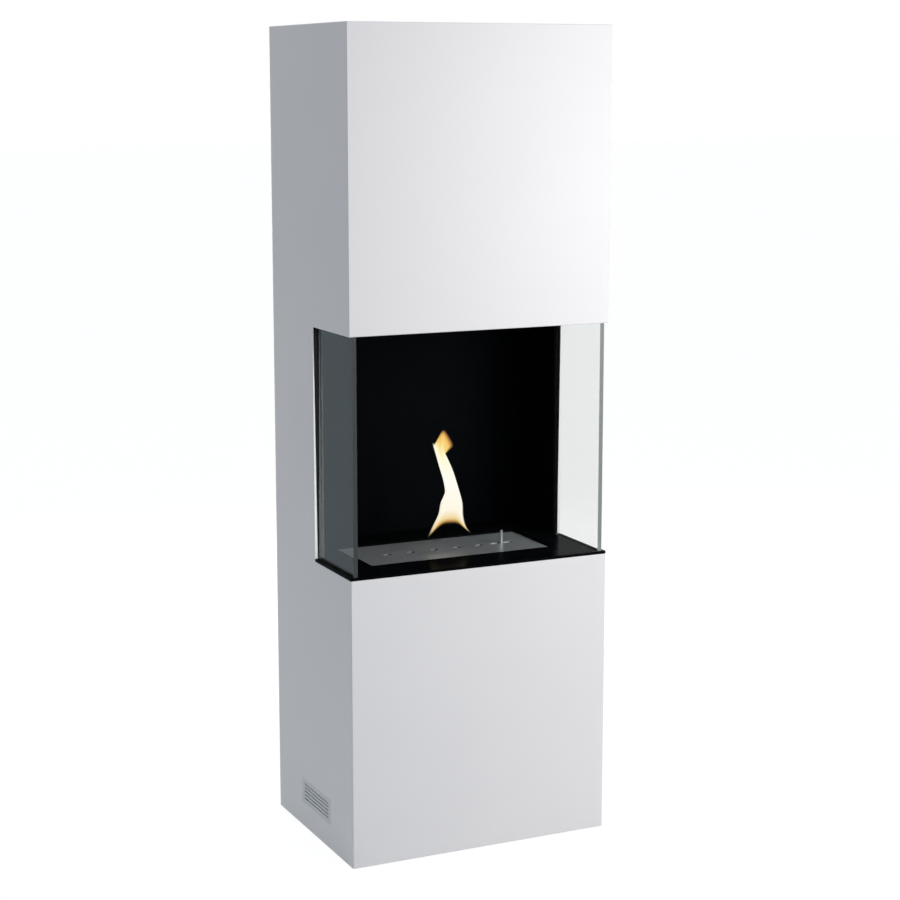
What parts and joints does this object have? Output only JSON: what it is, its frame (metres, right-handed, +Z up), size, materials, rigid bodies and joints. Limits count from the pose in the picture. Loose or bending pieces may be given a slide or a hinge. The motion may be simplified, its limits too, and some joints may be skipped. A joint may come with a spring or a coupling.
{
  "type": "bioethanol fireplace",
  "caption": "White free-standing column fireplace with a black firebox open at the front, glass at the sides and a lift-out bioethanol slot burner with a sliding shutter.",
  "frame": {"origin": "middle of the footprint, on the floor", "axes": "+X to the right along the open front, +Y to the rear, +Z up"},
  "size_m": [0.5, 0.36, 1.46],
  "materials": {
    "white_lacquered_board": "satin lacquer on MDF",
    "bare_wood": "raw",
    "zinc_steel": "zinc plated",
    "black_steel": "satin black, heat resistant",
    "white_steel": "satin",
    "clear_glass": "clear toughened float glass",
    "black_rubber": "matt",
    "grey_plastic": "matt",
    "calcium_silicate": "matt, porous",
    "ceramic_fibre": "matt, fibrous",
    "brushed_stainless": "brushed",
    "polished_steel": "polished"
  },
  "bodies": {
    "casing": {"left_side_panel": "white_lacquered_board", "right_side_panel": "white_lacquered_board", "lower_front_panel": "white_lacquered_board", "upper_front_panel": "white_lacquered_board", "base_panel": "white_lacquered_board", "hearth_shelf": "white_lacquered_board", "canopy_shelf": "white_lacquered_board", "top_panel": "white_lacquered_board", "back_panel": "white_lacquered_board", "left_rear_batten": "bare_wood", "right_rear_batten": "bare_wood", "front_corner_battens": "bare_wood", "dowels": "bare_wood", "back_panel_screws": "zinc_steel", "wall_inserts": "zinc_steel", "hearth_plate": "black_steel", "firebox_back_plate": "black_steel", "left_liner_plate": "black_steel", "right_liner_plate": "black_steel", "firebox_ceiling_plate": "black_steel", "firebox_screws": "black_steel", "left_air_grille": "white_steel", "right_air_grille": "white_steel", "top_air_grille": "white_steel", "left_glass": "clear_glass", "right_glass": "clear_glass", "glass_setting_pads": "black_rubber", "glass_rear_seals": "black_rubber", "floor_glides": "grey_plastic", "ceiling_insulation": "calcium_silicate", "burner_well": "brushed_stainless"},
    "burner": {"burner_tank": "brushed_stainless", "burner_top_plate": "brushed_stainless", "shutter_rails": "brushed_stainless", "absorber_block": "ceramic_fibre"},
    "shutter": {"shutter_plate": "brushed_stainless", "regulator_pin": "polished_steel"}
  },
  "joints": [
    {"name": "burner_lift", "type": "slide", "parent": "casing", "child": "burner", "axis": [0, 0, 1], "range_m": [0, 0.15]},
    {"name": "shutter_slide", "type": "slide", "parent": "burner", "child": "shutter", "axis": [1, 0, 0], "range_m": [-0.019, 0.019]}
  ]
}
